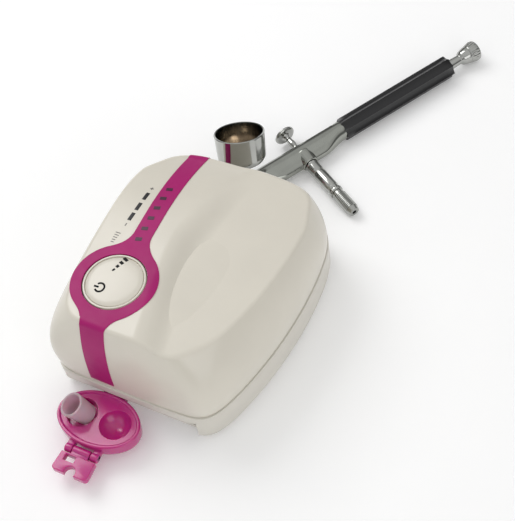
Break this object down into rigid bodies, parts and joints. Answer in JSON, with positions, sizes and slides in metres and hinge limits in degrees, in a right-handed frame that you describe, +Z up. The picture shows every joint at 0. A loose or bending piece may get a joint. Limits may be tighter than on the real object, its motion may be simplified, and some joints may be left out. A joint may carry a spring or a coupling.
{
  "type": "airbrush compressor",
  "caption": "Small diaphragm airbrush compressor with a rocker button, a pull-out holder with a fold-up fork, and its airbrush lying behind it.",
  "frame": {"origin": "centre of the footprint of the whole set (compressor and airbrush), on the surface it stands on", "axes": "+Z up, +Y from the compressor's front, with the pull-out holder, towards its rear and the airbrush, +X to the right seen from the front"},
  "size_m": [0.1098, 0.2916, 0.0589],
  "materials": {
    "pearl_case": "pearl white satin gloss",
    "pearl_base": "pearl white, slightly duller than the shell",
    "magenta_trim": "glossy magenta",
    "magenta_holder": "glossy moulded magenta",
    "rubber_feet": "matt black rubber",
    "dark_lens": "dark tinted lens",
    "clear_silicone": "translucent silicone",
    "circuit_board": "green solder mask",
    "black_plastic": "fine matt texture",
    "steel": "brushed",
    "aluminium": "turned",
    "brass": "turned",
    "chrome": "polished plating",
    "grip_black": "black anodised, semi-gloss",
    "felt": "soft felt"
  },
  "bodies": {
    "casing": {"base_tray": "pearl_base", "foot_front_left": "rubber_feet", "foot_front_right": "rubber_feet", "foot_rear_left": "rubber_feet", "foot_rear_right": "rubber_feet", "case_screw_front_left": "steel", "case_screw_front_right": "steel", "case_screw_rear_left": "steel", "case_screw_rear_right": "steel", "upper_shell": "pearl_case", "trim_band": "magenta_trim", "light_lens_1": "dark_lens", "light_lens_2": "dark_lens", "light_lens_3": "dark_lens", "control_board": "circuit_board", "power_switch": "black_plastic", "mode_switch": "black_plastic", "power_socket": "black_plastic", "air_outlet": "brass", "motor": "steel", "pump_body": "black_plastic", "diaphragm": "rubber_feet", "valve_plate": "aluminium", "pump_head": "black_plastic", "inlet_filter": "felt", "air_tube": "clear_silicone"},
    "button": {"mode_power_button": "pearl_case"},
    "crank": {"motor_shaft": "steel", "eccentric": "brass"},
    "rod": {"connecting_rod": "black_plastic"},
    "holder": {"holder": "magenta_holder", "fork_pin": "steel", "silicone_sleeve": "clear_silicone"},
    "fork": {"holder_fork": "magenta_holder"},
    "airbrush": {"needle_cap": "chrome", "air_cap": "chrome", "nozzle": "brass", "airbrush_body": "chrome", "paint_cup": "chrome", "valve_body": "chrome", "valve_spring": "steel", "hose_connector": "chrome", "needle_spring": "steel", "spring_guide": "aluminium", "grip_sleeve": "grip_black"},
    "plunger": {"valve_plunger": "brass"},
    "trigger": {"trigger": "chrome"},
    "needle_set": {"needle": "steel", "needle_chuck": "brass"},
    "tail": {"tail_knob": "chrome"}
  },
  "joints": [
    {"name": "button_rock", "type": "hinge", "parent": "casing", "child": "button", "pos_m": [-0.02659, -0.07789, 0.05539], "axis": [1, 0, 0], "range_deg": [-2.5, 2.5], "stiffness_Nm_per_rad": 0.5},
    {"name": "motor_spin", "type": "hinge", "parent": "casing", "child": "crank", "pos_m": [0.00741, -0.03839, 0.0285], "axis": [0, 1, 0], "continuous": true},
    {"name": "rod_swing", "type": "hinge", "parent": "crank", "child": "rod", "pos_m": [0.00601, -0.03839, 0.0285], "axis": [0, 1, 0], "continuous": true},
    {"name": "holder_slide", "type": "slide", "parent": "casing", "child": "holder", "axis": [0, 1, 0], "range_m": [0, 0.04], "deforming": ["silicone_sleeve"]},
    {"name": "fork_fold", "type": "hinge", "parent": "holder", "child": "fork", "pos_m": [-0.02159, -0.13429, 0.008], "axis": [1, 0, 0], "range_deg": [-90, 0]},
    {"name": "airbrush_lift", "type": "slide", "parent": "casing", "child": "airbrush", "axis": [0, 0, 1], "range_m": [0, 0.12]},
    {"name": "valve_press", "type": "slide", "parent": "airbrush", "child": "plunger", "axis": [0.8646, -0.4992, -0.0581], "range_m": [0, 0.0015], "stiffness_N_per_m": 600, "deforming": ["valve_spring"]},
    {"name": "trigger_pull", "type": "hinge", "parent": "plunger", "child": "trigger", "pos_m": [-0.00291, 0.04884, 0.00577], "axis": [-0.0504, 0.0291, -0.9983], "range_deg": [0, 20]},
    {"name": "needle_pull", "type": "slide", "parent": "airbrush", "child": "needle_set", "axis": [0.5, 0.866, 0], "range_m": [0, 0.0017], "stiffness_N_per_m": 100, "deforming": ["needle_spring"]},
    {"name": "tail_turn", "type": "hinge", "parent": "airbrush", "child": "tail", "pos_m": [0.04181, 0.1281, 0.00582], "axis": [0.5, 0.866, 0], "range_deg": [-180, 180]}
  ],
  "couplings": [
    {"joint": "rod_swing", "follows": "motor_spin", "ratio": -1},
    {"joint": "trigger_pull", "follows": "needle_pull", "rad_per_m": 200}
  ]
}
